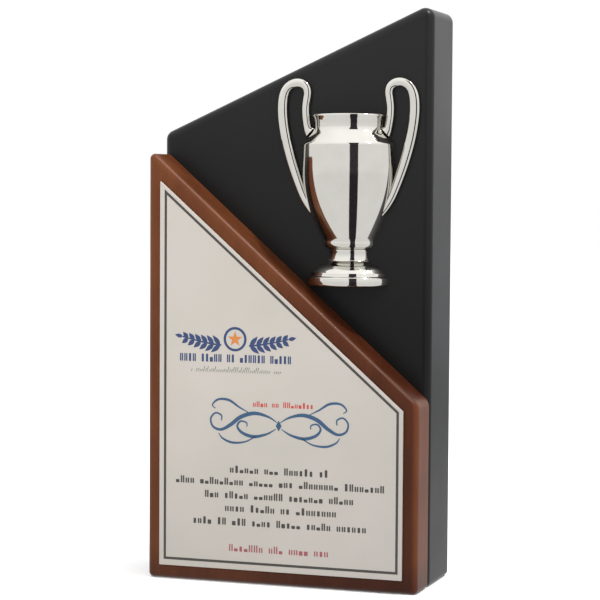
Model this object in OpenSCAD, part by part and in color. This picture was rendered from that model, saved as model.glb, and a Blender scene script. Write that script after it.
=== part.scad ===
// Two-panel desk plaque: a tall rear panel with a slanted top carries a relief cup,
// and a lower front panel with a diagonal top carries the award plate.
// Frame: origin at the middle of the underside, X to the right, front towards -Y, Z up.

/* [Panels] */
// Width of both panels
panel_w = 100; // [98:1:120]
// Height of the rear panel on its right side
rear_right_h = 204; // [204:1:240]
// Height of the rear panel on its left side
rear_left_h = 159; // [159:1:190]
// Thickness of the rear panel
rear_t = 27.5; // [26:0.5:34]
// Height of the front panel on its left side
front_left_h = 153.6; // [140:0.2:154]
// Height of the front panel on its right side
front_right_h = 65.6; // [62:0.2:66]
// Thickness of the front panel
front_t = 14.5; // [13:0.5:20]
// Radius of the rear panel's two top corners
rear_top_r = 3.5; // [2:0.5:8]
// Radius of the front panel's right end of the slope
front_right_r = 4.8; // [2:0.1:6]
// Radius of every other panel corner
corner_r = 1.8; // [1.6:0.1:3]
// Radius of the rounded edge around the rear panel's front face
rear_edge_r = 3.2; // [2:0.1:3.4]
// Radius of the rounded edge around the front panel's front face
front_edge_r = 2.4; // [1:0.1:3]

/* [Award plate] */
// Bare wood left around the plate
plate_margin = 5; // [3:0.1:12]
// Extra bare wood above the plate's top corner
plate_drop = 0.8; // [0:0.1:2]
// Thickness of the plate
plate_t = 0.8; // [0.5:0.1:2]
// Thickness of the adhesive sheet behind the plate
adhesive_t = 0.2; // [0.1:0.05:0.5]
// How far the adhesive sheet stays back from the plate's edge
adhesive_inset = 1; // [0.5:0.5:4]

/* [Cup] */
// Distance of the cup's axis to the right of the plaque's middle
cup_x = 19.9; // [18:0.1:22]
// Gap between the left end of the cup's foot and the slope of the front panel
cup_gap = 0.75; // [0.5:0.05:1.4]
// How far the cup's axis lies behind the rear panel's face, so the relief is less than half round
cup_sink = 4.5; // [3:0.5:5]
// Half-width of the bowl at its widest
bowl_hw = 17.2; // [16.6:0.1:17.8]
// Half-width of the foot at its widest
foot_hw = 15; // [14.2:0.1:15.2]
// Wall thickness of the hollow bowl
bowl_wall = 1.6; // [1.2:0.1:2]
// Height of the handles' straight sides above the rear panel's face
handle_wall = 1.2; // [0.6:0.1:2]
// Height of the handles' rounded crown above those sides
handle_crown = 0.9; // [0.6:0.1:1.6]

/* [Fasteners] */
// Shank diameter of the cup screws
cup_screw_d = 3; // [2.5:0.5:3]
// Shank diameter of the panel screws
panel_screw_d = 4; // [3:0.5:4.5]
// Wood left under the screw heads
seat_t = 15.5; // [14:0.5:18]

/* [Hidden] */

// Planes square to Y, from front to back
front_y = -(front_t + rear_t) / 2;
face_y = front_y + front_t;
back_y = face_y + rear_t;
seat_y = face_y + seat_t;

// Panel outlines in X and Z, anticlockwise from the lower left
half_w = panel_w / 2;
rear_outline = [[-half_w, 0], [half_w, 0], [half_w, rear_right_h], [-half_w, rear_left_h]];
front_outline = [[-half_w, 0], [half_w, 0], [half_w, front_right_h], [-half_w, front_left_h]];
front_slope = (front_right_h - front_left_h) / panel_w;
rear_radii = [corner_r, corner_r, rear_top_r, rear_top_r];
front_radii = [corner_r, corner_r, front_right_r, corner_r];
corner_steps = 6;
edge_steps = 5;
slice_t = 0.02;
sharp_r = 0.05;

// The cup stands just clear of the front panel's slope
base_low_r = 0.9;
foot_left = cup_x - foot_hw + base_low_r;
cup_z = front_left_h + front_slope * (foot_left + half_w) + cup_gap;
// Cup heights above its own underside
foot_top = 12.25;
bead_top = 16.05;
belly_h = 42.8;
shoulder_h = 49.3;
neck_h = 55.7;
rim_h = 60.2;
// Cup half-widths where it meets the panel
collar_hw = 6.6;
bead_hw = 9.3;
body_base_hw = 9.2;
neck_hw = 12.85;
rim_hw = 13.6;

// Foot: rounded base ring, a crease, a rounded step and a stem that widens downwards in an ogee.
// Points are [distance in from the foot's widest, height].
base_high_r = 0.8;
base_straight = 1.7;
base_bulge = 0.1;
base_turn = 65;
crease = [[0.9, 3.5], [0.95, 3.65]];
step_at = [2.1, 4.2];
step_r = 0.8;
step_turn = 50;
ogee = [[2, 5.3], [2.8, 6.1], [4, 7], [5.3, 7.65], [6.6, 8.3], [7.5, 9], [7.9, 9.9], [8.1, 10.8],
    [8.1, 11.6], [7.95, 12.25]];

// Bowl: collar, bead, belly, rounded shoulder, a cone up to the neck and rim with a rounded lip.
// The cone's points are [half-width, height].
collar_h = 0.5;
bead_r = 2.2;
bead_turn = 15;
belly_power = 2.1;
shoulder_r = 1.2;
shoulder_turn = 38;
cone = [[16.85, 50.2], [15.75, 51.5], [14.65, 52.8], [13.8, 53.8], [13.25, 54.6], [12.95, 55.25]];
neck_land = 0.3;
rim_pull = [0.05, 2.5];
rim_flare = [0.15, 1];
lip_r = 0.55;
lip_turn = -30;
lip_land = 0.75;
rim_recess = 0.8;
recess_taper = 0.3;
// The inside of the hollow bowl, as heights above the cup's underside
cavity_bottom = 19;
cavity_top = 57.5;

// Heel of a handle, from its pointed end upwards: distance from the cup's axis and height of the
// inner and the outer edge
handle_heel = [[[12.3, 55.3], [15.3, 52.15]], [[13.5, 55.6], [15.9, 54.0]],
    [[13.7, 56.5], [16.3, 55.9]]];
// Handle route: distance from the cup's axis, height above its underside, half-width
handle_route = [
    [15.3, 58.0, 1.35], [15.5, 60.0, 1.35], [15.55, 62.6, 1.35], [15.2, 65.4, 1.4], [14.9, 67.6, 1.4],
    [15.4, 69.6, 1.45], [17.0, 70.9, 1.5], [19.2, 71.2, 1.5], [21.4, 70.4, 1.5], [23.0, 68.7, 1.6],
    [23.9, 66.2, 1.7], [24.2, 63.0, 1.75], [24.1, 59.5, 1.75], [23.6, 55.5, 1.75], [22.7, 50.8, 1.75],
    [21.4, 45.8, 1.7], [19.9, 41.0, 1.65], [18.1, 36.0, 1.55], [16.2, 31.4, 1.45], [14.2, 27.9, 1.3],
    [12.2, 25.2, 1.1], [10.4, 23.2, 0.9]];
route_steps = 3;
section_steps = 8;

// Screws
clearance = 0.05;
head_ratio = 1.9;
head_h = 2.4;
socket_h = 1.4;
socket_ratio = 0.9;
tip_ratio = 0.1;
counterbore_d = 9;
washer_d = 7.4;
washer_t = 0.6;
cup_screw_z = [for (h = [3.4, 38.8]) cup_z + h];
cup_thread = 6;
bore_extra = 1;
boss_r = 3.2;
panel_screw_at = [[-34, 18], [34, 18], [-34, 118], [34, 54]];
panel_thread = 9;
point_len = 3;
loose = 0.2;
eps = 0.01;

// Geometry helpers -------------------------------------------------------------------

function unit(v) = v / norm(v);

function turned(v, a) = [v.x * cos(a) - v.y * sin(a), v.x * sin(a) + v.y * cos(a)];

// Point i of a closed list
function at(list, i) = list[(i + len(list)) % len(list)];

// Half of the angle at corner i of an outline
function half_angle(pts, i) =
    acos(unit(at(pts, i - 1) - pts[i]) * unit(at(pts, i + 1) - pts[i])) / 2;

// Unit vector from corner i into the outline
function inward(pts, i) = unit(unit(at(pts, i - 1) - pts[i]) + unit(at(pts, i + 1) - pts[i]));

// A convex outline moved inwards by d along every side
function inset(pts, d) =
    [for (i = [0:len(pts) - 1]) pts[i] + inward(pts, i) * d / sin(half_angle(pts, i))];

// A convex outline with corner i rounded to radii[i]
function rounded(pts, radii) = [
    for (i = [0:len(pts) - 1])
        let (
            half = half_angle(pts, i),
            centre = pts[i] + inward(pts, i) * radii[i] / sin(half),
            start = pts[i] + unit(at(pts, i - 1) - pts[i]) * radii[i] / tan(half) - centre
        )
        for (k = [0:corner_steps]) centre + turned(start, (180 - 2 * half) * k / corner_steps)];

function arc(cx, cy, r, a0, a1, n) =
    [for (i = [0:n]) let (a = a0 + (a1 - a0) * i / n) [cx + r * cos(a), cy + r * sin(a)]];

function bend(p0, p1, p2, n) =
    [for (i = [0:n]) let (t = i / n) p0 * (1 - t) * (1 - t) + p1 * 2 * t * (1 - t) + p2 * t * t];

// Smooth curve through a list of points
function through(p, n) = concat(
    [for (i = [0:len(p) - 2])
        let (a = p[max(i - 1, 0)], b = p[i], c = p[i + 1], d = p[min(i + 2, len(p) - 1)])
        for (k = [0:n - 1])
            let (t = k / n)
            (b * 2 + (c - a) * t + (a * 2 - b * 5 + c * 4 - d) * t * t
                + (b * 3 - a - c * 3 + d) * t * t * t) / 2],
    [p[len(p) - 1]]);

// Triangles that join rings of n points each, with a flat convex cap at both ends
function skin_faces(rings, n) = concat(
    [for (k = [1:n - 2]) [0, k, k + 1]],
    [for (i = [0:rings - 2]) for (k = [0:n - 1]) let (m = (k + 1) % n)
        each [[i * n + k, (i + 1) * n + k, (i + 1) * n + m], [i * n + k, (i + 1) * n + m, i * n + m]]],
    [for (k = [1:n - 2]) [(rings - 1) * n, (rings - 1) * n + k + 1, (rings - 1) * n + k]]);

// A panel standing in X and Z from plane y back to y + t, with a rounded front edge
module panel(outline, radii, y, t, edge_r) {
    hull()
        for (k = [0:edge_steps]) {
            d = edge_r * (1 - sin(90 * k / edge_steps));
            depth = edge_r * (1 - cos(90 * k / edge_steps));
            sheet(rounded(inset(outline, d), [for (r = radii) max(r - d, sharp_r)]), y + depth,
                slice_t);
        }
    sheet(rounded(outline, radii), y + edge_r, t - edge_r);
}

// A flat sheet with the outline given in X and Z, from plane y back to y + t
module sheet(outline, y, t) {
    translate([0, y + t, 0]) rotate([90, 0, 0]) linear_extrude(t) polygon(outline);
}

// A round bar along Y from plane y0 back to plane y1
module bar(x, z, y0, y1, r) {
    translate([x, y1, z]) rotate([90, 0, 0]) cylinder(h = y1 - y0, r = r, $fn = 48);
}

// Fasteners --------------------------------------------------------------------------

// Screw along Y: head seated on plane y, shank of radius r running forward
module screw(x, z, y, r, len, point) {
    difference() {
        bar(x, z, y, y + head_h, r * head_ratio);
        translate([x, y + head_h + eps, z]) rotate([90, 0, 0])
            cylinder(h = socket_h + eps, r = r * socket_ratio, $fn = 6);
    }
    bar(x, z, y - len + point, y + eps, r);
    if (point > 0)
        translate([x, y - len + point + eps, z]) rotate([90, 0, 0])
            cylinder(h = point, r1 = r, r2 = r * tip_ratio, $fn = 48);
}

module counterbored_hole(x, z, r) {
    bar(x, z, face_y - bore_extra, back_y + bore_extra, r);
    bar(x, z, seat_y, back_y + bore_extra, counterbore_d / 2);
}

module cup_screws() {
    color("silver")
        for (z = cup_screw_z)
            screw(cup_x, z, seat_y + washer_t, cup_screw_d / 2, seat_t + washer_t + cup_thread, 0);
}

module cup_washers() {
    color("silver")
        for (z = cup_screw_z)
            difference() {
                bar(cup_x, z, seat_y, seat_y + washer_t, washer_d / 2);
                bar(cup_x, z, seat_y - eps, seat_y + washer_t + eps, cup_screw_d / 2 + loose);
            }
}

module panel_screws() {
    color("gold")
        for (p = panel_screw_at)
            screw(p.x, p.y, seat_y, panel_screw_d / 2, seat_t + panel_thread, point_len);
}

// Panels and plate -------------------------------------------------------------------

module rear_panel() {
    color([0.13, 0.13, 0.13])
        difference() {
            panel(rear_outline, rear_radii, face_y, rear_t, rear_edge_r);
            for (p = panel_screw_at)
                counterbored_hole(p.x, p.y, panel_screw_d / 2 + loose);
            for (z = cup_screw_z)
                counterbored_hole(cup_x, z, cup_screw_d / 2 + loose);
        }
}

module front_panel() {
    color([0.36, 0.18, 0.11])
        difference() {
            panel(front_outline, front_radii, front_y, front_t, front_edge_r);
            for (p = panel_screw_at)
                bar(p.x, p.y, face_y - panel_thread - bore_extra, face_y + bore_extra,
                    panel_screw_d / 2 + clearance);
        }
}

// The plate's outline, moved in by m from the front panel's
function plate_outline(m) = inset(front_outline, m) - [[0, 0], [0, 0], [0, 0], [0, plate_drop]];

module award_plate() {
    color([0.8, 0.78, 0.73])
        sheet(plate_outline(plate_margin), front_y - adhesive_t - plate_t, plate_t);
}

module plate_adhesive() {
    color([0.9, 0.9, 0.85])
        sheet(plate_outline(plate_margin + adhesive_inset), front_y - adhesive_t, adhesive_t);
}

// Cup --------------------------------------------------------------------------------

// Radius about the sunk axis that gives the half-width hw at the panel's face
function relief_r(hw) = sqrt(hw * hw + cup_sink * cup_sink);

function relief_outline(side) = [for (p = side) [relief_r(p.x), p.y]];

// Turns half-widths and heights into a relief that lies flat on the rear panel's face
module relief(side) {
    span = 2 * relief_r(bowl_hw);
    translate([cup_x, face_y + cup_sink, cup_z])
        intersection() {
            rotate_extrude($fn = 96)
                polygon(concat([[0, side[0].y]], side, [[0, side[len(side) - 1].y]]));
            translate([-span, -span - cup_sink, -span]) cube([2 * span, span, 4 * span]);
        }
}

function belly_hw(h) =
    bowl_hw - (bowl_hw - body_base_hw) * pow((belly_h - h) / (belly_h - bead_top), belly_power);

bead_curve = arc(bead_hw - bead_r, foot_top + collar_h + bead_r, bead_r, -90, bead_turn, 8);
belly_curve = [for (i = [0:14]) let (h = bead_top + (belly_h - bead_top) * i / 14) [belly_hw(h), h]];
shoulder_curve = arc(bowl_hw - shoulder_r, shoulder_h, shoulder_r, 0, shoulder_turn, 4);
neck_curve = through(concat(cone, [[neck_hw, neck_h]]), 3);
rim_curve = bend([neck_hw, neck_h + neck_land], [neck_hw + rim_pull.x, neck_h + rim_pull.y],
    [rim_hw - rim_flare.x, rim_h - rim_flare.y], 5);
lip_curve = arc(rim_hw - lip_r, rim_h - lip_r, lip_r, lip_turn, 90, 5);
inner_lip = rim_hw - lip_r - lip_land;

bowl_side = concat([[collar_hw, foot_top], [collar_hw, foot_top + collar_h]], bead_curve,
    belly_curve, shoulder_curve, neck_curve, rim_curve, lip_curve,
    [[inner_lip, rim_h], [inner_lip - recess_taper, rim_h - rim_recess]]);

cavity_side = [
    for (p = relief_outline(concat(belly_curve, shoulder_curve, neck_curve, rim_curve)))
        if (p.y > cavity_bottom && p.y < cavity_top) [p.x - bowl_wall, p.y]];

// The screw boss reaches the middle of the bowl's front wall
boss_len = relief_r(bowl_hw) - cup_sink - bowl_wall / 2;

module cup_bowl() {
    color([0.85, 0.84, 0.8])
        difference() {
            union() {
                difference() {
                    relief(relief_outline(bowl_side));
                    relief(cavity_side);
                }
                bar(cup_x, cup_screw_z[1], face_y - boss_len, face_y, boss_r);
            }
            bar(cup_x, cup_screw_z[1], face_y - cup_thread - bore_extra, face_y + bore_extra,
                cup_screw_d / 2 + clearance);
        }
}

// Points given as [distance in from the foot's widest, height], as [half-width, height]
function from_edge(list) = [for (p = list) [foot_hw - p.x, p.y]];

base_side = foot_hw - base_bulge;
base_ring = concat(arc(base_side - base_low_r, base_low_r, base_low_r, -90, 0, 5),
    bend([base_side, base_low_r], [foot_hw + base_bulge, base_low_r + base_straight / 2],
        [base_side, base_low_r + base_straight], 4),
    arc(base_side - base_high_r, base_low_r + base_straight, base_high_r, 0, base_turn, 4));
step_ring = arc(foot_hw - step_at.x, step_at.y, step_r, 0, step_turn, 4);
foot_side = concat(base_ring, from_edge(crease), step_ring,
    through(from_edge(ogee), 2));

module cup_foot() {
    color([0.85, 0.84, 0.8])
        difference() {
            relief(relief_outline(foot_side));
            bar(cup_x, cup_screw_z[0], face_y - cup_thread - bore_extra, face_y + bore_extra,
                cup_screw_d / 2 + clearance);
        }
}

// Ring of a handle about route point i: flat on the panel, straight sides and a rounded crown
function handle_ring(route, i, side) =
    let (
        p = route[i],
        ahead = route[min(i + 1, len(route) - 1)] - route[max(i - 1, 0)],
        across = unit([-ahead.y, ahead.x]),
        crown = [for (k = [0:section_steps])
            let (a = 180 * k / section_steps) [p.z * cos(a), handle_wall + handle_crown * sin(a)]],
        section = concat([[p.z, 0]], crown, [[-p.z, 0]])
    )
    placed(section, [p.x, p.y], across, side);

// Ring of a handle between its inner and outer edge at the heel
function heel_ring(edges, side) =
    let (
        half = norm(edges[0] - edges[1]) / 2,
        crown = [for (k = [0:section_steps])
            let (a = 180 * k / section_steps) [half * cos(a), handle_wall + handle_crown * sin(a)]]
    )
    placed(concat([[half, 0]], crown, [[-half, 0]]), (edges[0] + edges[1]) / 2,
        unit(edges[0] - edges[1]), side);

// A section about a centre beside the cup's axis, mirrored for the left handle
function placed(section, centre, across, side) =
    [for (q = section)
        [cup_x + side * (centre.x + across.x * q.x), face_y - q.y, cup_z + centre.y + across.y * q.x]];

module handle(side) {
    route = through(handle_route, route_steps);
    rings = concat([for (edges = handle_heel) each heel_ring(edges, side)],
        [for (i = [0:len(route) - 1]) each handle_ring(route, i, side)]);
    faces = skin_faces(len(route) + len(handle_heel), section_steps + 3);
    polyhedron(rings, side > 0 ? faces : [for (f = faces) [for (k = [len(f) - 1:-1:0]) f[k]]]);
}

module cup_handle_left() {
    color([0.8, 0.79, 0.75]) handle(-1);
}

module cup_handle_right() {
    color([0.8, 0.79, 0.75]) handle(1);
}

rear_panel();
front_panel();
award_plate();
plate_adhesive();
cup_bowl();
cup_foot();
cup_handle_left();
cup_handle_right();
cup_screws();
cup_washers();
panel_screws();
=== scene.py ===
import math
import random

import bmesh
import bpy
from mathutils import Matrix, Vector

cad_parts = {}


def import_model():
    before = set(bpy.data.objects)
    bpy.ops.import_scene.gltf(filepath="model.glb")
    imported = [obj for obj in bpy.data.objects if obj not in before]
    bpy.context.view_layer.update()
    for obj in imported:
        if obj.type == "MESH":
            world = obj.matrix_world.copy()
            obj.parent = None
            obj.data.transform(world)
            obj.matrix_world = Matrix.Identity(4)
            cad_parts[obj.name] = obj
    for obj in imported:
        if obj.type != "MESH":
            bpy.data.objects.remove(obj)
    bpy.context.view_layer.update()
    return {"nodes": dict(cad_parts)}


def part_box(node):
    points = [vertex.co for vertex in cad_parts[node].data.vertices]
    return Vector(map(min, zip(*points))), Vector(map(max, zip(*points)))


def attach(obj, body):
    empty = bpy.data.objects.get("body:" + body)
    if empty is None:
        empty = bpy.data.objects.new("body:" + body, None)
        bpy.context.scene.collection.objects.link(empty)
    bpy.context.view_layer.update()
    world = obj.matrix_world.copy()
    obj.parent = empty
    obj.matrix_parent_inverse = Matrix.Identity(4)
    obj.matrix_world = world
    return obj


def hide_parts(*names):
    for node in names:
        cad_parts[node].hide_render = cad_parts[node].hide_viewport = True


# The looks of the two-panel plaque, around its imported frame. Objects are in metres, in the frame's
# own axes: X to the right, front towards -Y, Z up. Shapes are worked out in millimetres.

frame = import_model()

MM = 0.001
BODY = "root"


def planes(node):
    """A node's lowest and highest corner in millimetres."""
    low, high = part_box(node)
    return low / MM, high / MM


REAR_LOW, REAR_HIGH = planes("rear_panel")
FRONT_LOW, _ = planes("front_panel")
PLATE_LOW, PLATE_HIGH = planes("award_plate")
FOOT_LOW, FOOT_HIGH = planes("cup_foot")
WASHER_LOW, _ = planes("cup_washers")

# Panels: outlines anticlockwise from the lower left, with the untrimmed heights of both sides
HALF_W = REAR_HIGH.x
FACE_Y = REAR_LOW.y
REAR_RIGHT_H = 204
REAR_LEFT_H = 159
FRONT_RIGHT_H = 65.6
FRONT_LEFT_H = 153.6
REAR_OUTLINE = [(-HALF_W, 0), (HALF_W, 0), (HALF_W, REAR_RIGHT_H), (-HALF_W, REAR_LEFT_H)]
FRONT_OUTLINE = [(-HALF_W, 0), (HALF_W, 0), (HALF_W, FRONT_RIGHT_H), (-HALF_W, FRONT_LEFT_H)]
REAR_RADII = [1.8, 1.8, 3.5, 3.5]
FRONT_RADII = [1.8, 1.8, 4.8, 1.8]
REAR_EDGE_R = 3.2
FRONT_EDGE_R = 2.4
BACK_EDGE_R = 0.6
JOINT_EDGE_R = 0.15
SHARP_R = 0.05
TRIM = 0.006
CORNER_STEPS = 12
EDGE_STEPS = 10

# Plate and print
PLATE_MARGIN = 5
PLATE_EDGE_R = 0.15
PLATE_BACK_R = 0.02
PLATE_CORNER_R = PLATE_EDGE_R * 1.2
PRINT_T = 0.025
PLATE_FACE_Y = PLATE_LOW.y + PRINT_T
BORDER_IN = [2.1, 1.4, 1.1, 1.75]
BORDER_W = 0.9

# Screw holes of the rear panel: places in X and Z
SEAT_Y = WASHER_LOW.y
COUNTERBORE_R = 4.5
HOLE_CHAMFER = 0.35
PANEL_SCREW_AT = [(-34, 18), (34, 18), (-34, 118), (34, 54)]
PANEL_BORE_R = 2.2
CUP_BORE_R = 1.7

# Cup: the axis lies behind the panel's face, so the relief is less than half round
CUP_X = (FOOT_LOW.x + FOOT_HIGH.x) / 2
CUP_Z = FOOT_LOW.z
CUP_SINK = 4.5
BOWL_TOP = 60.2
RELIEF_STEPS = 120


# Meshes -----------------------------------------------------------------------------------------

def finish_piece(name, bm, materials, nodes=(), sharp=38, weighted=True):
    """Turns a closed bmesh in millimetres into a piece that rides on the plaque."""
    bmesh.ops.recalc_face_normals(bm, faces=bm.faces)
    bmesh.ops.scale(bm, vec=(MM, MM, MM), verts=bm.verts)
    mesh = bpy.data.meshes.new(name)
    bm.to_mesh(mesh)
    bm.free()
    for mat in materials:
        mesh.materials.append(mat)
    mesh.shade_smooth()
    mesh.set_sharp_from_angle(angle=math.radians(sharp))
    piece = bpy.data.objects.new(name, mesh)
    bpy.context.scene.collection.objects.link(piece)
    if weighted:
        normals = piece.modifiers.new("weighted_normals", "WEIGHTED_NORMAL")
        normals.keep_sharp = True
    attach(piece, BODY)
    if nodes:
        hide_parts(*nodes)
    return piece


def corner_of(points, i):
    """Corner i of an outline: its place, the way back, the way inwards and half its angle."""
    here = Vector(points[i])
    back = (Vector(points[i - 1]) - here).normalized()
    ahead = (Vector(points[(i + 1) % len(points)]) - here).normalized()
    return here, back, (back + ahead).normalized(), back.angle(ahead) / 2


def inset(points, distance):
    """A convex outline moved inwards along every side."""
    moved = []
    for i in range(len(points)):
        here, _, inward, half = corner_of(points, i)
        moved.append(here + inward * distance / math.sin(half))
    return moved


def inset_sides(points, distances):
    """A convex outline with the side after corner i moved inwards by distances[i]."""
    moved = []
    for i, ahead_in in enumerate(distances):
        here, back, inward, half = corner_of(points, i)
        ahead = (inward * 2 * math.cos(half) - back).normalized()
        moved.append(here + (ahead * distances[i - 1] + back * ahead_in) / math.sin(2 * half))
    return moved


def rounded(points, radii, steps=CORNER_STEPS):
    """A convex outline with corner i rounded to radii[i]."""
    ring = []
    for i, radius in enumerate(radii):
        here, back, inward, half = corner_of(points, i)
        centre = here + inward * radius / math.sin(half)
        start = here + back * radius / math.tan(half) - centre
        for k in range(steps + 1):
            turn = Matrix.Rotation((math.pi - 2 * half) * k / steps, 2)
            ring.append(centre + turn @ start)
    return ring


def circle(centre, radius, steps=48):
    return [(centre[0] + radius * math.cos(math.tau * k / steps),
             centre[1] + radius * math.sin(math.tau * k / steps)) for k in range(steps)]


def loop_at(bm, outline, y):
    """Vertices along an outline in X and Z, in the plane y."""
    return [bm.verts.new((p[0], y, p[1])) for p in outline]


def bridge(bm, a, b, material=0):
    """Quads between two closed loops of the same length."""
    for k in range(len(a)):
        m = (k + 1) % len(a)
        bm.faces.new((a[k], a[m], b[m], b[k])).material_index = material


def cap_with_holes(bm, outer, holes):
    """A flat face inside the outer loop, left open inside each hole's loop."""
    edges = []
    for ring in [outer, *holes]:
        for k in range(len(ring)):
            pair = (ring[k], ring[(k + 1) % len(ring)])
            edges.append(bm.edges.get(pair) or bm.edges.new(pair))
    bmesh.ops.triangle_fill(bm, use_beauty=True, use_dissolve=False, edges=edges)


def slab(bm, outline, radii, y0, y1, front_r, back_r, front_holes=(), back_holes=()):
    """A panel with rounded front and back edges. Holes are loops already in the mesh."""
    layers = []
    for k in range(EDGE_STEPS + 1):
        angle = math.pi / 2 * k / EDGE_STEPS
        layers.append((y0 + front_r * (1 - math.cos(angle)), front_r * (1 - math.sin(angle))))
    for k in range(EDGE_STEPS, -1, -1):
        angle = math.pi / 2 * k / EDGE_STEPS
        layers.append((y1 - back_r * (1 - math.cos(angle)), back_r * (1 - math.sin(angle))))
    loops = [loop_at(bm, rounded(inset(outline, d), [max(r - d, SHARP_R) for r in radii]), y)
             for y, d in layers]
    for a, b in zip(loops, loops[1:]):
        bridge(bm, a, b)
    cap_with_holes(bm, loops[0], front_holes)
    cap_with_holes(bm, loops[-1], back_holes)


def prism(bm, outline, y0, y1):
    """A flat piece of print: an outline in X and Z between two planes."""
    front = loop_at(bm, outline, y0)
    back = loop_at(bm, outline, y1)
    bridge(bm, front, back)
    bm.faces.new(front)
    bm.faces.new(back[::-1])


def curve_through(points, steps):
    """Catmull-Rom curve through points of any dimension."""
    points = [Vector(p) for p in points]
    last = len(points) - 1
    line = []
    for i in range(last):
        a, b = points[max(i - 1, 0)], points[i]
        c, d = points[i + 1], points[min(i + 2, last)]
        for k in range(steps):
            t = k / steps
            line.append((b * 2 + (c - a) * t + (a * 2 - b * 5 + c * 4 - d) * t * t
                         + (b * 3 - a - c * 3 + d) * t ** 3) / 2)
    return line + [points[last]]


def stroke(bm, points, y0, y1, steps=8):
    """A pen stroke along points (x, z, half-width), as a thin ribbon between two planes."""
    line = curve_through(points, steps)
    rings = []
    for i, p in enumerate(line):
        ahead = line[min(i + 1, len(line) - 1)] - line[max(i - 1, 0)]
        side = Vector((-ahead[1], ahead[0])).normalized() * p[2]
        left, right = (p[0] + side.x, p[1] + side.y), (p[0] - side.x, p[1] - side.y)
        rings.append([bm.verts.new((x, y, z)) for (x, z), y in
                      ((left, y0), (right, y0), (right, y1), (left, y1))])
    for a, b in zip(rings, rings[1:]):
        bridge(bm, a, b)
    bm.faces.new(rings[0])
    bm.faces.new(rings[-1][::-1])


# Materials --------------------------------------------------------------------------------------

def srgb(r, g, b):
    """A colour given as 0 to 255 in sRGB, as linear RGBA."""
    def linear(v):
        v /= 255
        return v / 12.92 if v <= 0.04045 else ((v + 0.055) / 1.055) ** 2.4
    return (linear(r), linear(g), linear(b), 1)


WHITE = srgb(255, 255, 255)


class Shader:
    """A procedural material: a Principled shader and the nodes that feed it."""

    def __init__(self, name, **settings):
        self.material = bpy.data.materials.new(name)
        self.material.use_nodes = True
        self.nodes = self.material.node_tree.nodes
        self.links = self.material.node_tree.links
        self.surface = self.nodes["Principled BSDF"]
        self.coordinates = self.nodes.new("ShaderNodeTexCoord").outputs["Object"]
        for key, value in settings.items():
            self.surface.inputs[key.replace("_", " ")].default_value = value

    def node(self, kind, inputs=None, **settings):
        made = self.nodes.new(kind)
        for key, value in settings.items():
            setattr(made, key, value)
        for key, value in (inputs or {}).items():
            if isinstance(value, bpy.types.NodeSocket):
                self.links.new(value, made.inputs[key])
            else:
                made.inputs[key].default_value = value
        return made

    def stretched(self, x, y, z):
        """Object coordinates multiplied by x, y and z, in cycles per metre."""
        inputs = {"Vector": self.coordinates, "Scale": (x, y, z)}
        return self.node("ShaderNodeMapping", inputs).outputs["Vector"]

    def height(self):
        return self.node("ShaderNodeSeparateXYZ", {"Vector": self.coordinates}).outputs["Z"]

    def rightward(self):
        return self.node("ShaderNodeSeparateXYZ", {"Vector": self.coordinates}).outputs["X"]

    def fade(self, value, low, high, low_tint, high_tint):
        """A tint that changes gradually between two values."""
        return self.ramp(self.remap(value, low, high, 0, 1), [(0, low_tint), (1, high_tint)])

    def noise(self, vector, scale=1.0, detail=4.0, roughness=0.5, distortion=0.0):
        inputs = {"Vector": vector, "Scale": scale, "Detail": detail, "Roughness": roughness,
                  "Distortion": distortion}
        return self.node("ShaderNodeTexNoise", inputs).outputs["Fac"]

    def ramp(self, factor, stops):
        made = self.node("ShaderNodeValToRGB", {"Fac": factor})
        elements = made.color_ramp.elements
        while len(elements) < len(stops):
            elements.new(0.5)
        for element, (position, colour) in zip(elements, stops):
            element.position = position
            element.color = colour
        return made.outputs["Color"]

    def remap(self, value, low, high, to_low, to_high):
        inputs = {"Value": value, "From Min": low, "From Max": high, "To Min": to_low,
                  "To Max": to_high}
        return self.node("ShaderNodeMapRange", inputs).outputs["Result"]

    def blended(self, kind, factor, a, b):
        made = self.node("ShaderNodeMix", data_type="RGBA", blend_type=kind)
        for socket, value in ((made.inputs[0], factor), (made.inputs[6], a), (made.inputs[7], b)):
            if isinstance(value, bpy.types.NodeSocket):
                self.links.new(value, socket)
            else:
                socket.default_value = value
        return made.outputs[2]

    def bump(self, height, strength, distance, normal=None):
        inputs = {"Height": height, "Strength": strength, "Distance": distance}
        if normal:
            inputs["Normal"] = normal
        return self.node("ShaderNodeBump", inputs).outputs["Normal"]

    def feed(self, key, socket):
        self.links.new(socket, self.surface.inputs[key])


def black_lacquer():
    """Satin black lacquer: a slight orange peel, faint cloudy changes of gloss, and painted shade
    that darkens the colour lower down the panel.
    """
    s = Shader("black_lacquer", IOR=1.5, Specular_IOR_Level=0.16)
    cloud = s.noise(s.stretched(18, 18, 18), detail=3)
    tone = s.ramp(cloud, [(0.3, srgb(26, 26, 26)), (0.7, srgb(30, 29, 29))])
    # Painted shade: the colour darkens from 19 cm down to 9 cm above the underside, as if lit from
    # above.
    s.feed("Base Color", s.blended("MULTIPLY", 1, tone,
                                   s.fade(s.height(), 0.09, 0.19, (0.4, 0.37, 0.37, 1), WHITE)))
    s.feed("Roughness", s.remap(cloud, 0.3, 0.7, 0.3, 0.38))
    peel = s.noise(s.stretched(900, 900, 900), detail=2)
    s.feed("Normal", s.bump(peel, 0.05, 0.0002))
    return s.material


def raw_board():
    """Unpainted board inside the screw holes."""
    s = Shader("raw_board", Roughness=0.85)
    fibre = s.noise(s.stretched(900, 900, 900), detail=5)
    s.feed("Base Color", s.ramp(fibre, [(0.3, srgb(112, 82, 56)), (0.7, srgb(150, 116, 82))]))
    s.feed("Normal", s.bump(fibre, 0.5, 0.0004))
    return s.material


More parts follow.
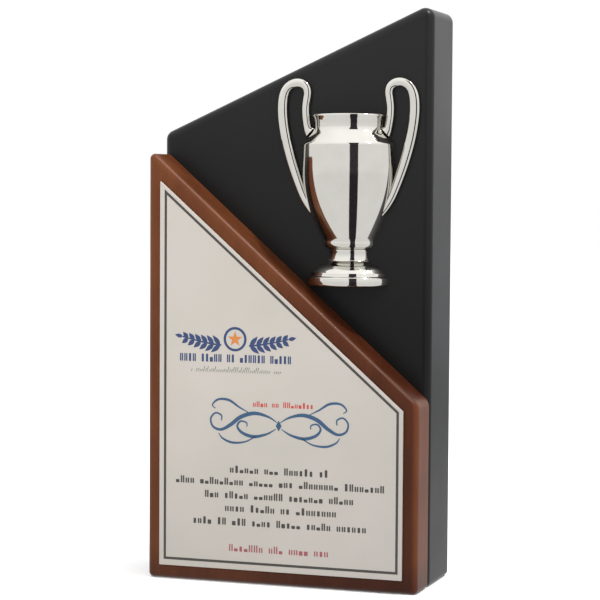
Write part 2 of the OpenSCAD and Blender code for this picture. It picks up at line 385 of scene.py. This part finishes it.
def walnut():
    """Reddish-brown stained wood under a satin lacquer, with painted shade that darkens it towards
    the foot and across the front face to the right; darker again along the bottom edge.
    """
    s = Shader("walnut_lacquer", IOR=1.5, Specular_IOR_Level=0.2,
               Specular_Tint=srgb(255, 236, 222))
    mottle = s.noise(s.stretched(70, 70, 34), detail=4, roughness=0.5, distortion=0.5)
    grain = s.noise(s.stretched(420, 420, 26), detail=5, roughness=0.6)
    pores = s.noise(s.stretched(1700, 1700, 70), detail=2)
    colour = s.ramp(mottle, [(0.28, srgb(86, 45, 23)), (0.5, srgb(94, 51, 27)),
                             (0.72, srgb(102, 57, 31))])
    streaks = s.ramp(grain, [(0.3, srgb(222, 216, 212)), (0.7, WHITE)])
    colour = s.blended("MULTIPLY", 0.6, colour, streaks)
    colour = s.blended("MULTIPLY", 1, colour,
                       s.fade(s.height(), 0.003, 0.012, (0.66, 0.6, 0.74, 1), WHITE))
    # Painted shade: darker towards the bottom, as if lit from above.
    colour = s.blended("MULTIPLY", 1, colour,
                       s.fade(s.height(), 0.02, 0.12, (0.86, 0.88, 0.9, 1), WHITE))
    # Painted shade across the front face, deepest to the right where the edge begins to round; the
    # right side face keeps nearly its full colour.
    painted_shade = s.ramp(s.remap(s.rightward(), -0.05, 0.05, 0, 1),
                   [(0.38, WHITE), (0.66, (0.6, 0.49, 0.46, 1)), (0.976, (0.48, 0.36, 0.32, 1)),
                    (0.996, (1, 0.9, 0.88, 1))])
    colour = s.blended("MULTIPLY", 1, colour, painted_shade)
    s.feed("Base Color", colour)
    s.feed("Roughness", s.remap(grain, 0.3, 0.7, 0.36, 0.44))
    s.feed("Normal", s.bump(pores, 0.05, 0.0002))
    return s.material


def pale_plate():
    """Matt silver-white coated plate with a fine brushed structure, and painted shade that darkens it
    towards the right and towards the bottom.
    """
    s = Shader("pale_plate", Metallic=0.25, IOR=1.45)
    cloud = s.noise(s.stretched(26, 26, 26), detail=3)
    brush = s.noise(s.stretched(90, 90, 2600), detail=3)
    tone = s.ramp(cloud, [(0.3, srgb(173, 168, 160)), (0.7, srgb(179, 173, 166))])
    # Painted shade: darker towards the right and towards the bottom.
    tone = s.blended("MULTIPLY", 1, tone,
                     s.fade(s.rightward(), 0.0, 0.05, WHITE, (0.95, 0.95, 0.97, 1)))
    tone = s.blended("MULTIPLY", 1, tone,
                     s.fade(s.height(), 0.008, 0.08, (0.9, 0.9, 0.9, 1), WHITE))
    s.feed("Base Color", tone)
    s.feed("Roughness", s.remap(brush, 0.3, 0.7, 0.42, 0.52))
    s.feed("Normal", s.bump(brush, 0.03, 0.0001))
    return s.material


def chrome():
    """Bright plated metal with the faintest waviness and haze."""
    s = Shader("chrome", Metallic=1.0)
    haze = s.noise(s.stretched(160, 160, 160), detail=4)
    wave = s.noise(s.stretched(110, 110, 110), detail=1)
    s.feed("Base Color", s.ramp(haze, [(0.3, srgb(208, 206, 199)), (0.7, srgb(214, 212, 206))]))
    s.feed("Roughness", s.remap(haze, 0.3, 0.7, 0.03, 0.07))
    s.feed("Normal", s.bump(wave, 0.05, 0.0004))
    return s.material


def ink(name, colour):
    """Printed ink with slightly uneven density."""
    s = Shader(name, Roughness=0.45)
    density = s.noise(s.stretched(1500, 1500, 1500), detail=3)
    light = tuple(min(1, 1.25 * v + 0.004) for v in colour[:3]) + (1,)
    s.feed("Base Color", s.ramp(density, [(0.35, colour), (0.7, light)]))
    return s.material


def plated_steel(name, dark, light):
    """Plated screw steel with fine turning marks."""
    s = Shader(name, Metallic=1.0)
    marks = s.noise(s.stretched(1200, 5000, 1200), detail=4)
    s.feed("Base Color", s.ramp(marks, [(0.3, dark), (0.7, light)]))
    s.feed("Roughness", s.remap(marks, 0.3, 0.7, 0.24, 0.42))
    s.feed("Normal", s.bump(marks, 0.15, 0.0001))
    return s.material


def adhesive():
    """The adhesive sheet, just seen round the plate's edge."""
    s = Shader("adhesive_tape", Roughness=0.7)
    cells = s.noise(s.stretched(3000, 3000, 3000), detail=3)
    s.feed("Base Color", s.ramp(cells, [(0.3, srgb(200, 198, 188)), (0.7, srgb(226, 224, 214))]))
    return s.material


def white_floor():
    s = Shader("white_floor", Roughness=0.6, Specular_IOR_Level=0.2)
    tone = s.noise(s.stretched(1.5, 1.5, 1.5), detail=2)
    s.feed("Base Color", s.ramp(tone, [(0.3, srgb(242, 242, 242)), (0.7, srgb(246, 246, 246))]))
    return s.material


# Panels and plate -------------------------------------------------------------------------------

def through_hole(bm, centre, bore_r):
    """A counterbored hole through the rear panel; returns its front and back loops."""
    back_y = REAR_HIGH.y
    sections = [(COUNTERBORE_R + HOLE_CHAMFER, back_y), (COUNTERBORE_R, back_y - HOLE_CHAMFER),
                (COUNTERBORE_R, SEAT_Y), (bore_r, SEAT_Y), (bore_r, FACE_Y)]
    loops = [loop_at(bm, circle(centre, r), y) for r, y in sections]
    for a, b in zip(loops, loops[1:]):
        bridge(bm, a, b, material=1)
    return loops[-1], loops[0]


def rear_panel(lacquer, board):
    bm = bmesh.new()
    holes = [through_hole(bm, place, PANEL_BORE_R) for place in PANEL_SCREW_AT]
    holes += [through_hole(bm, (CUP_X, z), CUP_BORE_R) for z in cup_screw_heights()]
    slab(bm, inset(REAR_OUTLINE, TRIM), REAR_RADII, FACE_Y, REAR_HIGH.y, REAR_EDGE_R, BACK_EDGE_R,
         [h[0] for h in holes], [h[1] for h in holes])
    return finish_piece("rear_board", bm, [lacquer, board], ["rear_panel"])


def cup_screw_heights():
    """Axis heights of the two cup screws, from the middle of each one's head."""
    low, high = planes("cup_screws")
    radius = (high.x - low.x) / 2
    return [low.z + radius, high.z - radius]


def front_panel(wood):
    bm = bmesh.new()
    slab(bm, inset(FRONT_OUTLINE, TRIM), FRONT_RADII, FRONT_LOW.y, FACE_Y, FRONT_EDGE_R,
         JOINT_EDGE_R)
    return finish_piece("front_board", bm, [wood], ["front_panel"])


def plate_outline():
    """The plate's corners; the top one lies lower than an even margin would put it."""
    outline = inset(FRONT_OUTLINE, PLATE_MARGIN)
    return outline[:3] + [Vector((outline[3].x, PLATE_HIGH.z))]


def award_plate(metal):
    bm = bmesh.new()
    slab(bm, plate_outline(), [PLATE_CORNER_R] * 4, PLATE_FACE_Y, PLATE_HIGH.y, PLATE_EDGE_R,
         PLATE_BACK_R)
    return finish_piece("plate_sheet", bm, [metal], ["award_plate"])


# Print ------------------------------------------------------------------------------------------

# The ink's front, the step between overlapping layers, and its back inside the plate
INK_Y = PLATE_LOW.y + 0.004
INK_LAYER = 0.002
INK_BACK_Y = PLATE_FACE_Y + 0.01
# Marks: corner rounding in pens, shares of a mark's width and height, the gap as a share of the
# row's pitch, and the share of marks that are taller
MARK_ROUNDING = 0.4
BROAD_BAR_AT = 0.15
BROAD_BAR_W = 0.7
LOW_BLOCK_H = 0.6
MARK_GAP = 0.26
TALL_SHARE = 0.3


def printed(name, bm, mat):
    return finish_piece(name, bm, [mat], weighted=False)


def border(mat):
    """The thin line that follows the plate's edge."""
    bm = bmesh.new()
    outer = inset_sides(plate_outline(), BORDER_IN)
    band(bm, outer, inset(outer, BORDER_W))
    return printed("print_border", bm, mat)


def band(bm, outer, inner):
    """A printed line between an outer and an inner outline."""
    loops = [loop_at(bm, outer, INK_Y), loop_at(bm, inner, INK_Y),
             loop_at(bm, inner, INK_BACK_Y), loop_at(bm, outer, INK_BACK_Y)]
    for k in range(4):
        bridge(bm, loops[k], loops[(k + 1) % 4])


def rectangle(x, z, w, h):
    return [(x, z), (x + w, z), (x + w, z + h), (x, z + h)]


def mark(bm, rng, x, z, w, h, pen):
    """One placeholder mark on the line z: a pair of bars, one broad bar or a low block."""
    kind = rng.random()
    pieces = [rectangle(x, z, pen, h), rectangle(x + w - pen, z, pen, h)]
    if kind > 0.5:
        pieces = [rectangle(x + w * BROAD_BAR_AT, z, w * BROAD_BAR_W, h)]
    if kind > 0.75:
        pieces = [rectangle(x, z, w, h * LOW_BLOCK_H)]
    for piece in pieces:
        prism(bm, rounded(piece, [pen * MARK_ROUNDING] * 4, 2), INK_Y, INK_BACK_Y)


def mark_row(bm, seed, x0, x1, z, height, pitch, pen, tall=0.4):
    """A row of placeholder words in place of text; some of the marks are taller."""
    rng = random.Random(seed)
    gap = pitch * MARK_GAP
    count = round((x1 - x0 + gap) / pitch)
    pitch = (x1 - x0 + gap) / count
    left = rng.randint(3, 8)
    for i in range(count):
        if left == 0 and 1 < i < count - 2:
            left = rng.randint(2, 9)
            continue
        left = max(left - 1, 0)
        rise = 1 + tall * (rng.random() < TALL_SHARE)
        mark(bm, rng, x0 + i * pitch, z - height / 2, pitch - gap, height * rise, pen)


# Rows as left end, right end and middle height; sizes as mark height, pitch and pen width
MESSAGE = [(-18.1, 18.2, 40.2), (-38.6, 38.5, 35.8), (-27.5, 27.4, 31.1), (-19.9, 21.2, 26.5),
           (-32, 32.1, 21.6)]
MESSAGE_SIZE = (1.85, 1.85, 0.56)
CLOSING = (-18.3, 18.4, 12.4)
CLOSING_SIZE = (1.85, 1.85, 0.5)
HEADING = (-9.6, 12.6, 63.6)
HEADING_SIZE = (1.45, 1.4, 0.4)
NAME = (-37.2, 4.4, 79.6)
NAME_SIZE = (2.8, 1.6, 0.5)


def message_rows(mat):
    bm = bmesh.new()
    for seed, row in enumerate(MESSAGE):
        mark_row(bm, seed, *row, *MESSAGE_SIZE)
    return printed("print_message", bm, mat)


def closing_row(mat):
    bm = bmesh.new()
    mark_row(bm, 5, *CLOSING, *CLOSING_SIZE)
    return printed("print_closing", bm, mat)


def heading_row(mat):
    bm = bmesh.new()
    mark_row(bm, 8, *HEADING, *HEADING_SIZE)
    return printed("print_heading", bm, mat)


def name_row(mat):
    bm = bmesh.new()
    mark_row(bm, 3, *NAME, *NAME_SIZE, tall=0)
    return printed("print_name", bm, mat)


FINE_LEFT = -33.0
FINE_RIGHT = 0.4
FINE_Z = 74.6
FINE_LEAN = 0.5
FINE_PEN = (0.08, 0.14)
FINE_HEIGHTS = (0.9, 0.9, 1.2, 2.0)
FINE_STEP = 0.7
FINE_SPACE = 1.9


def fine_row(mat):
    """The thin slanted line of small strokes under the emblem."""
    bm = bmesh.new()
    rng = random.Random(2)
    x = FINE_LEFT
    while x < FINE_RIGHT:
        height = rng.choice(FINE_HEIGHTS)
        stroke(bm, [(x, FINE_Z, FINE_PEN[0]), (x + FINE_LEAN, FINE_Z + height, FINE_PEN[1])],
               INK_Y, INK_BACK_Y, 2)
        x += FINE_STEP if rng.random() > 0.12 else FINE_SPACE
    return printed("print_fine", bm, mat)


# The emblem: its middle, the ring's and the star's outer and inner radii, the sprays and leaves
EMBLEM = (-16.4, 86.4)
RING_R = (4.3, 3.4)
STAR_R = (2.9, 1.15)
SPRAY_START = 5.2
SPRAY_LENGTH = 14.6
SPRAY_DROP = 2.2
SPRAY_RISE = 2.6
LEAF_PAIRS = 6
LEAF_LIFTS = (50, -38)
LEAF_LENGTH = 4.4
LEAF_SHORTER = 0.3
LEAF_W = 0.84
LEAF_STEPS = 8


def leaf(bm, x, z, angle, length, width, y):
    """A pointed leaf from its stem at x, z, printed in the plane y."""
    turn = Matrix.Rotation(angle, 2)
    upper = [Vector((length * t / LEAF_STEPS, width * math.sin(math.pi * (t / LEAF_STEPS) ** 0.8)))
             for t in range(LEAF_STEPS + 1)]
    lower = [Vector((p.x, -p.y)) for p in upper[-2:0:-1]]
    prism(bm, [Vector((x, z)) + turn @ p for p in upper + lower], y, INK_BACK_Y)


def laurel(mat):
    """Two laurel sprays, mirrored to the left and right of the roundel."""
    bm = bmesh.new()
    for side in (-1, 1):
        stem = [(EMBLEM[0] + side * (SPRAY_START + SPRAY_LENGTH * t / LEAF_PAIRS),
                 EMBLEM[1] - SPRAY_DROP + SPRAY_RISE * (t / LEAF_PAIRS) ** 1.4,
                 0.34 - 0.02 * t) for t in range(LEAF_PAIRS + 1)]
        stroke(bm, stem, INK_Y - INK_LAYER, INK_BACK_Y, 4)
        for t in range(LEAF_PAIRS):
            x, z, _ = stem[t]
            size = LEAF_LENGTH - LEAF_SHORTER * t
            for layer, lift in enumerate(LEAF_LIFTS):
                angle = math.radians(lift if side > 0 else 180 - lift)
                leaf(bm, x + side * 0.4, z, angle, size, LEAF_W, INK_Y + layer * INK_LAYER)
        leaf(bm, stem[-1][0], stem[-1][1], math.radians(12 if side > 0 else 168), 3.0, 0.7,
             INK_Y + INK_LAYER / 2)
    band(bm, circle(EMBLEM, RING_R[0]), circle(EMBLEM, RING_R[1]))
    return printed("print_laurel", bm, mat)


def star(mat):
    """The five-pointed star in the emblem's ring."""
    bm = bmesh.new()
    points = []
    for k in range(10):
        radius = STAR_R[k % 2]
        angle = math.pi / 2 + math.pi * k / 5
        points.append((EMBLEM[0] + radius * math.cos(angle), EMBLEM[1] + radius * math.sin(angle)))
    prism(bm, points, INK_Y, INK_BACK_Y)
    return printed("print_star", bm, mat)


FLOURISH = [
    # A long S from the middle outwards, ending in a curl
    [(0.5, 57.6, 0.1), (4, 59.6, 0.3), (9, 60.6, 0.5), (14, 59.2, 0.55), (18, 56.2, 0.5),
     (21.6, 54.4, 0.38), (24.6, 55.4, 0.3), (25.4, 58.2, 0.26), (23.6, 60.2, 0.24),
     (21.4, 59.4, 0.22), (21.4, 57.6, 0.16)],
    # A counter-curl under it
    [(1.0, 55.4, 0.1), (4.6, 53.4, 0.3), (9.4, 52.4, 0.45), (13.6, 53.6, 0.4), (15.4, 55.8, 0.3),
     (14.2, 57.6, 0.24), (12, 57.2, 0.2), (11.8, 55.8, 0.14)],
    # A light tail above
    [(11.4, 60.9, 0.12), (14.8, 62.6, 0.24), (18.6, 64.9, 0.34), (22.6, 65, 0.3), (24.8, 63, 0.2),
     (23.6, 61.8, 0.12)],
    # A light tail below
    [(8.6, 52.4, 0.12), (12.6, 50.4, 0.22), (17.4, 50, 0.32), (21, 51.4, 0.24), (22.4, 53.2, 0.1)],
]


PEN_WEIGHT = 1.3
DIAMOND = [(0, 54.6), (1.1, 56.5), (0, 58.4), (-1.1, 56.5)]


def flourish(mat):
    """A symmetrical ornament of pen strokes in the middle of the plate."""
    bm = bmesh.new()
    for side in (-1, 1):
        for line in FLOURISH:
            stroke(bm, [(side * x, z, w * PEN_WEIGHT) for x, z, w in line], INK_Y, INK_BACK_Y)
    prism(bm, DIAMOND, INK_Y, INK_BACK_Y)
    return printed("print_flourish", bm, mat)


# Cup --------------------------------------------------------------------------------------------

def arc(cx, cz, radius, start, end, steps):
    """Points (half-width, height) along an arc, angles in degrees."""
    points = []
    for k in range(steps + 1):
        a = math.radians(start + (end - start) * k / steps)
        points.append((cx + radius * math.cos(a), cz + radius * math.sin(a)))
    return points


def bend(p0, p1, p2, steps):
    """A quadratic curve from p0 to p2, pulled towards p1."""
    points = []
    for k in range(steps + 1):
        t = k / steps
        u = 1 - t
        points.append(tuple(a * u * u + b * 2 * t * u + c * t * t for a, b, c in zip(p0, p1, p2)))
    return points


# Half-widths and heights of the bowl, from the collar up to the lip
COLLAR = [(6.6, 12.25), (6.6, 12.75)]
BEAD_AT = (7.1, 14.95)
BEAD_R = 2.2
SHOULDER_AT = (16.0, 49.3)
SHOULDER_R = 1.2
SHOULDER_TURN = 38
RIM_CURVE = ((12.85, 56.0), (12.9, 58.2), (13.45, 59.2))
LIP_AT = (13.05, 59.65)
LIP_R = 0.55
RECESS = [(12.3, BOWL_TOP), (12.0, 59.4)]
# Half-widths and heights of the foot, from its underside up to the step
BASE_LOW_AT = (14.0, 0.9)
BASE_LOW_R = 0.9
BASE_SIDE = ((14.9, 0.92), (15.1, 1.75), (14.9, 2.58))
BASE_HIGH_AT = (14.1, 2.6)
BASE_HIGH_R = 0.8
CREASE = [(14.1, 3.5), (14.05, 3.65)]
STEP_AT = (12.9, 4.2)
STEP_R = 0.8
# The bowl's long side as (half-width, height): from the bead up to its widest height
BELLY_LOW = (9.2, 16.05)
BELLY_HIGH = (17.2, 42.8)
BELLY_POWER = 2.1
# The cone from the shoulder up to the neck
CONE = [(16.85, 50.2), (15.75, 51.5), (14.65, 52.8), (13.8, 53.8), (13.25, 54.6), (12.95, 55.25),
        (12.85, 55.7)]
# The stem's ogee from the foot's step up to the collar
OGEE = [(13.0, 5.3), (12.2, 6.1), (11.0, 7.0), (9.7, 7.65), (8.4, 8.3), (7.5, 9.0), (7.1, 9.9),
        (6.9, 10.8), (6.9, 11.6), (7.05, 12.25)]


def belly(steps):
    low, high = Vector(BELLY_LOW), Vector(BELLY_HIGH)
    points = []
    for k in range(steps + 1):
        t = 1 - k / steps
        points.append((high.x - (high.x - low.x) * t ** BELLY_POWER, high.y - (high.y - low.y) * t))
    return points


def smooth(points, steps):
    return [tuple(p) for p in curve_through(points, steps)]


def bowl_profile():
    """Half-widths and heights of collar, bead, belly, shoulder, cone, rim and lip."""
    return (COLLAR + arc(*BEAD_AT, BEAD_R, -90, 15, 16) + belly(36)
            + arc(*SHOULDER_AT, SHOULDER_R, 0, SHOULDER_TURN, 12) + smooth(CONE, 6)
            + bend(*RIM_CURVE, 10) + arc(*LIP_AT, LIP_R, -30, 90, 10) + RECESS)


def foot_profile():
    """Half-widths and heights of base ring, crease, step and the stem's ogee."""
    return (arc(*BASE_LOW_AT, BASE_LOW_R, -90, 0, 10) + bend(*BASE_SIDE, 8)
            + arc(*BASE_HIGH_AT, BASE_HIGH_R, 0, 65, 10) + CREASE
            + arc(*STEP_AT, STEP_R, 0, 50, 10) + smooth(OGEE, 5))


def relief(name, profile, mat, node):
    """A turned shape about the sunk axis, cut off flat on the rear panel's face."""
    bm = bmesh.new()
    axis_y = FACE_Y + CUP_SINK
    rows = []
    for half_width, height in profile:
        radius = math.hypot(half_width, CUP_SINK)
        reach = math.atan2(half_width, CUP_SINK)
        row = []
        for k in range(RELIEF_STEPS + 1):
            turn = reach * (2 * k / RELIEF_STEPS - 1)
            row.append(bm.verts.new((CUP_X + radius * math.sin(turn),
                                     axis_y - radius * math.cos(turn), CUP_Z + height)))
        rows.append(row)
    for a, b in zip(rows, rows[1:]):
        for k in range(RELIEF_STEPS):
            bm.faces.new((a[k], a[k + 1], b[k + 1], b[k]))
    bm.faces.new(rows[0])
    bm.faces.new(rows[-1])
    bm.faces.new([row[0] for row in rows] + [row[-1] for row in reversed(rows)])
    return finish_piece(name, bm, [mat], [node])


# The pointed heel from its tip upwards: the inner and the outer edge, as distance from the cup's
# axis and height above its underside
HANDLE_HEEL = [((12.3, 55.3), (15.3, 52.15)), ((13.5, 55.6), (15.9, 54.0)),
               ((13.7, 56.5), (16.3, 55.9))]
# The route above it: distance from the cup's axis, height above its underside, half-width
HANDLE_ROUTE = [
    (15.3, 58.0, 1.35), (15.5, 60.0, 1.35), (15.55, 62.6, 1.35), (15.2, 65.4, 1.4), (14.9, 67.6, 1.4),
    (15.4, 69.6, 1.45), (17.0, 70.9, 1.5), (19.2, 71.2, 1.5), (21.4, 70.4, 1.5), (23.0, 68.7, 1.6),
    (23.9, 66.2, 1.7), (24.2, 63.0, 1.75), (24.1, 59.5, 1.75), (23.6, 55.5, 1.75), (22.7, 50.8, 1.75),
    (21.4, 45.8, 1.7), (19.9, 41.0, 1.65), (18.1, 36.0, 1.55), (16.2, 31.4, 1.45), (14.2, 27.9, 1.3),
    (12.2, 25.2, 1.1), (10.4, 23.2, 0.9)]
HANDLE_WALL = 1.2
HANDLE_CROWN = 0.9
HANDLE_STEPS = 20


def handle_ring(bm, centre, half, side):
    """A handle's section about centre; half leads from the centre to its inner edge."""
    section = [(1, 0)]
    for k in range(HANDLE_STEPS + 1):
        a = math.pi * k / HANDLE_STEPS
        section.append((math.cos(a), HANDLE_WALL + HANDLE_CROWN * math.sin(a)))
    section.append((-1, 0))
    return [bm.verts.new((CUP_X + side * (centre.x + half.x * q), FACE_Y - rise,
                          CUP_Z + centre.y + half.y * q)) for q, rise in section]


def handle(name, side, mat, node):
    """A handle: a bar with straight sides and a rounded crown, swept along its route."""
    bm = bmesh.new()
    rings = []
    for inner, outer in HANDLE_HEEL:
        middle = (Vector(inner) + Vector(outer)) / 2
        rings.append(handle_ring(bm, middle, Vector(inner) - middle, side))
    line = curve_through(HANDLE_ROUTE, 8)
    for i, p in enumerate(line):
        ahead = line[min(i + 1, len(line) - 1)] - line[max(i - 1, 0)]
        across = Vector((-ahead[1], ahead[0])).normalized()
        rings.append(handle_ring(bm, p.xy, across * p[2], side))
    for a, b in zip(rings, rings[1:]):
        bridge(bm, a, b)
    bm.faces.new(rings[0])
    bm.faces.new(rings[-1])
    return finish_piece(name, bm, [mat], [node])


# Scene ------------------------------------------------------------------------------------------

# Camera, softboxes and set: metres and degrees
CAMERA_AT = (0.238918, -0.696726, 0.137761)
CAMERA_TURN = math.radians(18.925)
CAMERA_TILT = math.radians(2.973)
CAMERA_ROLL = math.radians(0.367)
CAMERA_LENS_MM = 123.689
CAMERA_SENSOR_MM = 36
FLOOR_R = 4.0


def camera():
    data = bpy.data.cameras.new("camera")
    data.lens = CAMERA_LENS_MM
    data.sensor_width = CAMERA_SENSOR_MM
    cam = bpy.data.objects.new("camera", data)
    bpy.context.scene.collection.objects.link(cam)
    cam.matrix_world = (Matrix.Translation(CAMERA_AT) @ Matrix.Rotation(CAMERA_TURN, 4, "Z")
                        @ Matrix.Rotation(math.pi / 2 - CAMERA_TILT, 4, "X")
                        @ Matrix.Rotation(CAMERA_ROLL, 4, "Z"))
    bpy.context.scene.camera = cam


SLIT_STEPS = 24
SLIT_DISTANCE = 1.2


def stage_mesh(name, bm, mat):
    """A part of the set, in metres."""
    mesh = bpy.data.meshes.new(name)
    bm.to_mesh(mesh)
    bm.free()
    mesh.materials.append(mat)
    made = bpy.data.objects.new(name, mesh)
    bpy.context.scene.collection.objects.link(made)
    return made


def floor():
    """A wide pale floor. Reflections see the light tent below it instead."""
    bm = bmesh.new()
    bm.faces.new([bm.verts.new((x, y, 0)) for x, y in circle((0, 0), FLOOR_R, 64)])
    made = stage_mesh("floor", bm, white_floor())
    made.visible_glossy = False


def reflected_card(name, azimuth, half_width, elevations, mat):
    """A part of the light tent seen only in reflections: a strip of even width, bent round the
    cup, at an azimuth (0 is in front) and between two elevations."""
    centre = Vector((CUP_X, FACE_Y, CUP_Z + BOWL_TOP / 2)) * MM
    a = math.radians(azimuth)
    away = Vector((math.sin(a), -math.cos(a), 0))
    side = Vector((math.cos(a), math.sin(a), 0)) * SLIT_DISTANCE * math.sin(math.radians(half_width))
    bm = bmesh.new()
    rows = []
    for k in range(SLIT_STEPS + 1):
        rise = math.radians(elevations[0] + (elevations[1] - elevations[0]) * k / SLIT_STEPS)
        way = away * math.cos(rise) + Vector((0, 0, math.sin(rise)))
        rows.append([bm.verts.new(centre + way * SLIT_DISTANCE + side * t) for t in (-1, 0, 1)])
    for a, b in zip(rows, rows[1:]):
        bm.faces.new((a[0], a[1], b[1], b[0]))
        bm.faces.new((a[1], a[2], b[2], b[1]))
    card = stage_mesh(name, bm, mat)
    for kind in ("camera", "diffuse", "shadow", "transmission", "volume_scatter"):
        setattr(card, "visible_" + kind, False)


def card_board(name, dark, light):
    s = Shader(name, Roughness=1.0, Specular_IOR_Level=0.0)
    fleck = s.noise(s.stretched(40, 40, 40), detail=2)
    s.feed("Base Color", s.ramp(fleck, [(0.3, dark), (0.7, light)]))
    return s.material


# The light tent's brightness by the upward part of the direction, from -1 to 1
SKY = [(-1, 0.95), (-0.5, 0.95), (-0.12, 0.94), (-0.05, 1.005), (0.08, 1.01), (0.35, 1.2),
       (0.7, 1.28), (0.95, 1.42)]
SKY_TOP = 1.5


def world():
    """White light from all round, a little stronger from above."""
    made = bpy.data.worlds.new("studio")
    bpy.context.scene.world = made
    made.use_nodes = True
    nodes, links = made.node_tree.nodes, made.node_tree.links
    background = nodes["Background"]
    place = nodes.new("ShaderNodeTexCoord")
    split = nodes.new("ShaderNodeSeparateXYZ")
    unit = nodes.new("ShaderNodeMapRange")
    unit.inputs["From Min"].default_value = -1
    ramp = nodes.new("ShaderNodeValToRGB")
    links.new(place.outputs["Generated"], split.inputs[0])
    links.new(split.outputs["Z"], unit.inputs["Value"])
    links.new(unit.outputs["Result"], ramp.inputs["Fac"])
    links.new(ramp.outputs["Color"], background.inputs["Color"])
    elements = ramp.color_ramp.elements
    while len(elements) < len(SKY):
        elements.new(0.5)
    for element, (up, value) in zip(elements, SKY):
        element.position = (up + 1) / 2
        element.color = (value / SKY_TOP, value / SKY_TOP, value / SKY_TOP, 1)
    background.inputs["Strength"].default_value = SKY_TOP


def softbox(name, place, target, size, watts):
    """A round softbox that looks at a target; places in metres."""
    data = bpy.data.lights.new(name, "AREA")
    data.shape = "DISK"
    data.size = size
    data.energy = watts
    light = bpy.data.objects.new(name, data)
    bpy.context.scene.collection.objects.link(light)
    light.location = place
    light.rotation_euler = (Vector(target) - Vector(place)).to_track_quat("-Z", "Y").to_euler()
    return light


# Cards: azimuth, half-width and elevations. Softboxes: place, target, size and watts.
SLIT = (21, 9.8, (-76, 60))
GREY_SIDE = (161, 25, (-12, 1))
KEY = ((-0.16, -0.5, 0.42), (0, 0, 0.1), 0.35, 1.0)
TOP = ((0.42, -0.07, 0.9), (0, 0, 0.12), 0.1, 6)


def lights():
    world()
    reflected_card("tent_slit", *SLIT,
                   card_board("card_black", srgb(50, 45, 50), srgb(54, 49, 54)))
    reflected_card("tent_grey", *GREY_SIDE,
                   card_board("card_grey", srgb(200, 202, 204), srgb(206, 208, 210)))
    key = softbox("key_softbox", *KEY)
    key.visible_glossy = False
    softbox("top_softbox", *TOP)


def fasteners():
    """CAD nodes that stay as they are and only get a material."""
    zinc = plated_steel("zinc_steel", srgb(150, 152, 156), srgb(196, 198, 202))
    yellow = plated_steel("yellow_steel", srgb(150, 122, 60), srgb(206, 176, 104))
    for node, mat in (("cup_screws", zinc), ("cup_washers", zinc), ("panel_screws", yellow),
                      ("plate_adhesive", adhesive())):
        mesh = frame["nodes"][node].data
        mesh.materials.clear()
        mesh.materials.append(mat)


def main():
    camera()
    floor()
    lights()
    rear_panel(black_lacquer(), raw_board())
    front_panel(walnut())
    award_plate(pale_plate())
    dark = ink("ink_dark", srgb(48, 44, 40))
    navy = ink("ink_navy", srgb(28, 48, 88))
    blue = ink("ink_blue", srgb(30, 64, 94))
    red = ink("ink_red", srgb(156, 50, 42))
    rose = ink("ink_rose", srgb(124, 62, 68))
    gold = ink("ink_gold", srgb(170, 104, 46))
    border(dark)
    message_rows(dark)
    closing_row(rose)
    heading_row(red)
    name_row(navy)
    fine_row(ink("ink_grey", srgb(84, 92, 84)))
    laurel(navy)
    star(gold)
    flourish(blue)
    plating = chrome()
    relief("cup_body", bowl_profile(), plating, "cup_bowl")
    relief("cup_base", foot_profile(), plating, "cup_foot")
    handle("handle_left", -1, plating, "cup_handle_left")
    handle("handle_right", 1, plating, "cup_handle_right")
    fasteners()


main()
scene_settings = bpy.context.scene.view_settings
scene_settings.view_transform = "Standard"
